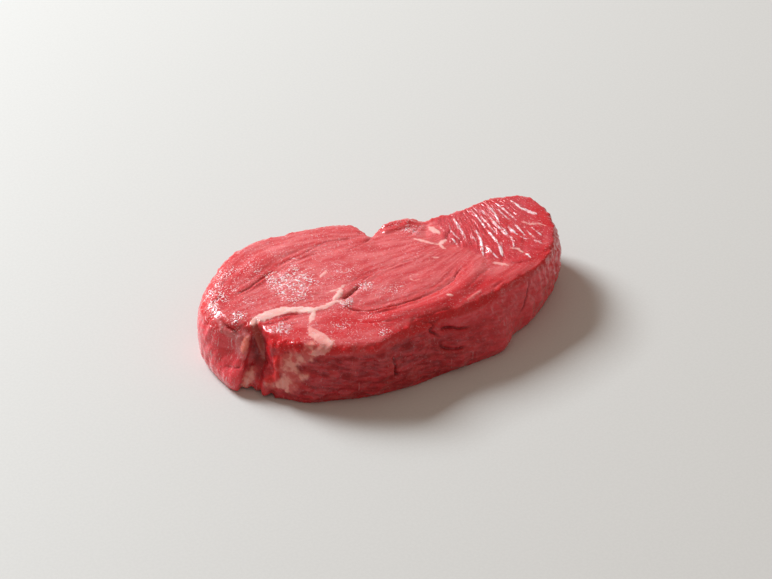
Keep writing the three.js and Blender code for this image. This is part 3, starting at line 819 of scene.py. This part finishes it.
class Nodes:
    """Makes a material's nodes and joins them. An input is a number, a colour or another node's output."""

    def __init__(self, name):
        self.material = bpy.data.materials.new(name)
        self.material.use_nodes = True
        self.tree = self.material.node_tree
        self.tree.nodes.clear()

    def add(self, kind, inputs=(), **settings):
        node = self.tree.nodes.new(kind)
        for key, value in settings.items():
            setattr(node, key, value)
        for key, value in dict(inputs).items():
            if isinstance(value, bpy.types.NodeSocket):
                self.tree.links.new(value, node.inputs[key])
            else:
                node.inputs[key].default_value = value
        return node

    def attribute(self, name):
        return self.add("ShaderNodeAttribute", attribute_name=name).outputs["Fac"]

    def vector(self, name):
        return self.add("ShaderNodeAttribute", attribute_name=name).outputs["Vector"]

    def math(self, operation, a, b=0.0, clamp=False):
        return self.add("ShaderNodeMath", {0: a, 1: b}, operation=operation, use_clamp=clamp).outputs[0]

    def ramp(self, value, low, high, out_low=0.0, out_high=1.0):
        inputs = {"Value": value, 1: low, 2: high, 3: out_low, 4: out_high}
        return self.add("ShaderNodeMapRange", inputs, interpolation_type="SMOOTHSTEP").outputs[0]

    def mix(self, share, a, b, blend="MIX"):
        node = self.add("ShaderNodeMix", data_type="RGBA", blend_type=blend)
        for socket, value in zip((node.inputs[0], node.inputs[6], node.inputs[7]), (share, a, b)):
            if isinstance(value, bpy.types.NodeSocket):
                self.tree.links.new(value, socket)
            else:
                socket.default_value = value
        return node.outputs[2]

    def blend(self, share, a, b):
        return self.add("ShaderNodeMix", {0: share, 2: a, 3: b}, data_type="FLOAT").outputs[0]

    def noise(self, place, scale, detail=2.0, roughness=0.5, stretch=(1, 1, 1), shift=0.0):
        moved = self.add("ShaderNodeMapping", {"Vector": place, "Scale": stretch, "Location": (shift,) * 3})
        inputs = {"Vector": moved.outputs[0], "Scale": scale, "Detail": detail, "Roughness": roughness}
        return self.add("ShaderNodeTexNoise", inputs).outputs["Fac"]


def opaque(colour):
    """A colour with its alpha."""
    return (*colour, 1.0)


def lean_colour(n, finish, noises):
    """The lean meat: streaked along the grain on top, a deeper red on the side, painted sheen where the top
    glitters, painted light on the front's ends, and painted shade in the furrows, creases and cleft.
    """
    side = n.attribute("side")
    lean = n.mix(n.ramp(noises.band, 0.36, 0.66, 0.0, 0.62), opaque(finish.lean), opaque(finish.lean_pale))
    lean = n.mix(n.ramp(noises.fibre, 0.5, 0.72, 0.0, 0.5), lean, opaque(finish.lean_pale))
    lean = n.mix(n.ramp(noises.fibre, 0.42, 0.3, 0.0, 0.4), lean, opaque(DARK_STREAK))
    lean = n.mix(n.math("MULTIPLY", n.attribute("coarse"), 0.9), lean, opaque(finish.coarse_lean))
    lean = n.mix(n.ramp(noises.speckle, 0.56, 0.74, 0.0, 0.2), lean, opaque(PALE_SPECK))
    # Painted sheen: a pale wash where the top glitters, in place of the broad wet shine
    painted_sheen = n.math("MULTIPLY", n.ramp(noises.mottle, 0.4, 0.6, 0.0, 0.36), noises.glitter, True)
    lean = n.mix(painted_sheen, lean, opaque(PAINTED_SHEEN))
    lean = n.mix(n.math("MULTIPLY", n.attribute("ruddy"), 0.95), lean, opaque(RUDDY_LEAN))
    fibres = n.ramp(noises.side_fibre, 0.34, 0.66)
    side_tone = n.mix(fibres, opaque(finish.side_deep), opaque(finish.side_lean))
    side_tone = n.mix(n.ramp(noises.mottle, 0.45, 0.7, 0.0, 0.4), side_tone, opaque(SIDE_MOTTLE))
    side_tone = n.mix(n.ramp(noises.mottle, 0.45, 0.3, 0.0, 0.5), side_tone, opaque(finish.side_deep))
    # Painted light: a brighter, clearer red on the front at both ends and near the rim on the right
    clear = n.math("MULTIPLY", n.attribute("painted_side_light"), 0.78)
    side_tone = n.mix(clear, side_tone, opaque(PAINTED_SIDE_LIGHT))
    lean = n.mix(n.ramp(side, 0.25, 0.95), lean, side_tone)
    rim = n.math("MULTIPLY", n.attribute("rim"), n.ramp(noises.mottle, 0.32, 0.58, 0.45, 1.0))
    lean = n.mix(rim, lean, opaque(finish.rim))
    # Painted shade in the furrows, creases and cleft
    lean = n.mix(n.math("MULTIPLY", n.attribute("shade"), 0.85), lean, opaque(FURROW_SHADE))
    return n.mix(n.math("MULTIPLY", n.attribute("cleft"), 0.6), lean, opaque(CLEFT_SHADE))


def patch_share(n, noises, name, strength, soft=0.45):
    """Where a patch covers the meat, with a slightly ragged edge."""
    ragged = n.math("MULTIPLY", n.math("SUBTRACT", noises.speckle, 0.5), 1.2)
    inside = n.ramp(n.math("ADD", n.attribute(name), ragged), -soft, soft)
    return n.math("MULTIPLY", inside, strength, True)


def meat_colour(n, finish, noises):
    """The colour of the meat with its fat, sinew and membrane, with painted sheen and painted glints."""
    fat = n.mix(n.ramp(noises.mottle, 0.35, 0.65), opaque(finish.fat), opaque(FAT_BLUSH))
    side_fat = n.mix(n.ramp(noises.mottle, 0.4, 0.58), opaque(SIDE_FAT), opaque(SIDE_FAT_BLUSH))
    colour = lean_colour(n, finish, noises)
    colour = n.mix(patch_share(n, noises, "red", 0.85, 0.9), colour, opaque(finish.rim))
    # Pale haze: pinkish-grey skin at the narrow end, painted sheen on the thick end
    colour = n.mix(patch_share(n, noises, "skin_haze_and_sheen", 0.35, 1.4), colour, opaque(SKIN_HAZE_AND_SHEEN))
    colour = n.mix(patch_share(n, noises, "fat", 0.85, 1.2), colour, side_fat)
    colour = n.mix(patch_share(n, noises, "glow", 0.85, 0.8), colour, opaque(GLOW))
    colour = n.mix(patch_share(n, noises, "skin", 0.5, 0.8), colour, opaque(finish.membrane))
    colour = n.mix(patch_share(n, noises, "finger", 0.85, 0.6), colour, opaque(FINGER))
    colour = n.mix(patch_share(n, noises, "sinew", 0.8, 0.7), colour, opaque(SINEW))
    colour = n.mix(patch_share(n, noises, "top_fat", n.attribute("top_fat_pale")), colour, fat)
    # The ridges' white streaks: partly whitish tissue, partly painted highlights along the wet ridges
    dashes = n.math("MULTIPLY", n.attribute("ridge_pale"), n.ramp(noises.spark, 0.38, 0.5, 0.25, 1.0))
    colour = n.mix(patch_share(n, noises, "ridge", dashes, 0.3), colour, opaque(RIDGE_TISSUE_AND_GLINT))
    # Painted glints: white specks in the colour where the meat glitters
    return n.mix(painted_glint_share(n, noises), colour, opaque(GLINT))


def painted_glint_share(n, noises):
    """Where painted glints turn the meat's colour white, over its wet grains."""
    level = n.math("ADD", noises.spark, n.math("MULTIPLY", noises.glitter, 0.15))
    large = n.math("MULTIPLY", n.ramp(level, 0.655, 0.7), n.ramp(noises.glitter, 0.02, 0.6, 0.1, 0.9))
    level = n.math("ADD", noises.grit, n.math("MULTIPLY", noises.glitter, 0.12))
    small = n.math("MULTIPLY", n.ramp(level, 0.65, 0.7), n.ramp(noises.glitter, 0.0, 0.5, 0.14, 0.8))
    fewer_on_side = n.ramp(n.attribute("side"), 0.2, 0.8, 1, 0.4)
    return n.math("MAXIMUM", large, n.math("MULTIPLY", small, fewer_on_side))


def wet_relief(n, noises):
    """The finest relief, in millimetres: fibres, and grains that stand up where the meat glitters."""
    grain_height = n.ramp(noises.glitter, 0, 1, 0.015, 0.24)
    grains = n.math("MULTIPLY", n.ramp(noises.speckle, 0.45, 0.7), grain_height)
    fine_height = n.ramp(noises.glitter, 0, 1, 0.01, 0.2)
    fine = n.math("MULTIPLY", n.ramp(noises.spark, 0.5, 0.7), fine_height)
    fibres = n.math("MULTIPLY", noises.fibre, n.ramp(n.attribute("coarse"), 0, 1, 0.06, 0.4))
    return n.math("ADD", n.math("ADD", grains, fine), fibres)


Noises = namedtuple("Noises", "fibre side_fibre band mottle speckle spark grit glitter")


def meat_material(finish):
    """Wet raw beef."""
    n = Nodes("raw_beef")
    place = n.add("ShaderNodeTexCoord").outputs["Object"]
    fine_fibre = n.noise(n.vector("grain_top"), 1.0, 3, 0.6, (0.9, 0.08, 1))
    coarse_fibre = n.noise(n.vector("grain_coarse"), 1.0, 3, 0.6, (1.2, 0.14, 1))
    side_fibre = n.noise(n.vector("grain_side"), 1.0, 4, 0.65, (0.6, 0.16, 1), 7.3)
    top_fibre = n.blend(n.attribute("coarse"), fine_fibre, coarse_fibre)
    fine_spark = n.noise(n.vector("grain_top"), 1.0, 2, 0.55, (1.3, 0.65, 1), 3.0)
    coarse_spark = n.noise(n.vector("grain_coarse"), 1.0, 2, 0.55, (1.7, 0.4, 1), 3.0)
    noises = Noises(
        fibre=n.blend(n.attribute("side"), top_fibre, side_fibre),
        side_fibre=side_fibre,
        band=n.noise(n.vector("grain_top"), 1.0, 2, 0.5, (0.4, 0.06, 1), 5.0),
        mottle=n.noise(place, 190, 3, 0.6),
        speckle=n.noise(place, 700, 1, 0.5),
        spark=n.blend(n.attribute("coarse"), fine_spark, coarse_spark),
        grit=n.noise(place, 1500, 1, 0.5, shift=3.0),
        glitter=n.attribute("glitter"),
    )
    relief = n.add("ShaderNodeBump", {"Height": wet_relief(n, noises), "Strength": 1.0, "Distance": MM})
    surface = n.add(
        "ShaderNodeBsdfPrincipled",
        {
            "Base Color": meat_colour(n, finish, noises),
            "Roughness": n.ramp(noises.mottle, 0.3, 0.7, 0.42, 0.58),
            "Normal": relief.outputs[0],
            "Coat Normal": relief.outputs[0],
            "Coat Weight": finish.wetness,
            "Coat Roughness": 0.08,
            "Coat IOR": 1.4,
            "IOR": 1.4,
            "Specular IOR Level": 0.08,
            "Subsurface Weight": 0.4,
            "Subsurface Radius": (1.0, 0.3, 0.2),
            "Subsurface Scale": 0.0015,
        },
    )
    output = n.add("ShaderNodeOutputMaterial")
    n.tree.links.new(surface.outputs[0], output.inputs["Surface"])
    return n.material


def floor_material(colour):
    """Plain pale matt floor."""
    n = Nodes("pale_floor")
    place = n.add("ShaderNodeTexCoord").outputs["Object"]
    tone = n.mix(n.ramp(n.noise(place, 900, 2), 0.4, 0.6, 0, 0.12), opaque(colour), opaque(FLOOR_SPECK))
    surface = n.add("ShaderNodeBsdfPrincipled", {"Base Color": tone, "Roughness": 0.6})
    output = n.add("ShaderNodeOutputMaterial")
    n.tree.links.new(surface.outputs[0], output.inputs["Surface"])
    return n.material


def make_floor(colour):
    """A wide floor just under the steak."""
    half = 3.0
    mesh = bpy.data.meshes.new("floor")
    corners = [(-half, -half, 0), (half, -half, 0), (half, half, 0), (-half, half, 0)]
    mesh.from_pydata(corners, [], [(0, 1, 2, 3)])
    floor = bpy.data.objects.new("floor", mesh)
    floor.location.z = -0.00005
    bpy.context.scene.collection.objects.link(floor)
    mesh.materials.append(floor_material(colour))


def look_at(place, target, roll=0.0):
    """The matrix of a light or camera at a place that looks at a target."""
    facing = (Vector(target) - Vector(place)).to_track_quat("-Z", "Y").to_matrix().to_4x4()
    return Matrix.Translation(place) @ facing @ Matrix.Rotation(roll, 4, "Z")


def make_light(name, place, size, power, target=(0, 0, 0)):
    """A soft rectangular light that looks at the steak."""
    data = bpy.data.lights.new(name, "AREA")
    data.shape = "RECTANGLE"
    data.size, data.size_y = size
    data.energy = power
    data.color = LIGHT_COLOUR
    light = bpy.data.objects.new(name, data)
    light.matrix_world = look_at(place, target)
    bpy.context.scene.collection.objects.link(light)


def make_camera(studio):
    """The camera, at the photograph's angle and distance."""
    target = (Vector(CAMERA_TARGET) - Vector(START)) * MM
    flat = math.cos(studio.elevation)
    turn = studio.azimuth
    away = Vector((math.sin(turn) * flat, -math.cos(turn) * flat, math.sin(studio.elevation)))
    data = bpy.data.cameras.new("camera")
    data.sensor_width = CAMERA_SENSOR
    data.lens = CAMERA_LENS
    camera = bpy.data.objects.new("camera", data)
    camera.matrix_world = look_at(target + studio.distance * away, target, CAMERA_ROLL)
    bpy.context.scene.collection.objects.link(camera)
    bpy.context.scene.camera = camera


def make_sky(strength):
    """Even light from all round."""
    world = bpy.data.worlds.new("studio")
    world.use_nodes = True
    background = world.node_tree.nodes["Background"]
    background.inputs["Color"].default_value = opaque(SKY_COLOUR)
    background.inputs["Strength"].default_value = strength
    bpy.context.scene.world = world


class STEAK_OT_make_steak(bpy.types.Operator):
    """Make the steak round its solid"""

    bl_idname = "steak.make_steak"
    bl_label = "Make steak"

    def execute(self, context):
        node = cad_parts.get(NODE)
        if node is None:
            raise RuntimeError("the frame has no steak")
        steak = even_mesh(node, context.scene.steak_shape.face_size)
        shape_steak(steak, context.scene.steak_shape)
        steak.data.shade_smooth()
        steak.data.materials.clear()
        steak.data.materials.append(meat_material(context.scene.steak_finish))
        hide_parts(NODE)
        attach(steak, "root")
        return {"FINISHED"}


class STEAK_OT_make_stage(bpy.types.Operator):
    """Make the floor, the light and the camera"""

    bl_idname = "steak.make_stage"
    bl_label = "Make stage"

    def execute(self, context):
        studio = context.scene.steak_studio
        make_floor(studio.floor)
        make_sky(studio.sky)
        make_light("key", LIGHT_PLACE, LIGHT_SIZE, studio.key_power)
        make_camera(studio)
        context.scene.view_settings.view_transform = "Standard"
        return {"FINISHED"}


class STEAK_PT_panel(bpy.types.Panel):
    """Steak tools"""

    bl_idname = "STEAK_PT_panel"
    bl_label = "Raw beef steak"
    bl_space_type = "VIEW_3D"
    bl_region_type = "UI"
    bl_category = "Steak"

    def draw(self, context):
        for group in (context.scene.steak_shape, context.scene.steak_finish, context.scene.steak_studio):
            for name in group.__annotations__:
                self.layout.prop(group, name)
        for operator in (STEAK_OT_make_steak, STEAK_OT_make_stage):
            self.layout.operator(operator.bl_idname)


CLASSES = (SteakShape, SteakFinish, SteakStudio, STEAK_OT_make_steak, STEAK_OT_make_stage, STEAK_PT_panel)


def register():
    for cls in CLASSES:
        bpy.utils.register_class(cls)
    bpy.types.Scene.steak_shape = bpy.props.PointerProperty(type=SteakShape)
    bpy.types.Scene.steak_finish = bpy.props.PointerProperty(type=SteakFinish)
    bpy.types.Scene.steak_studio = bpy.props.PointerProperty(type=SteakStudio)


def unregister():
    del bpy.types.Scene.steak_studio
    del bpy.types.Scene.steak_finish
    del bpy.types.Scene.steak_shape
    for cls in reversed(CLASSES):
        bpy.utils.unregister_class(cls)


def main():
    register()
    bpy.ops.steak.make_steak()
    bpy.ops.steak.make_stage()


if __name__ == "__main__":
    main()
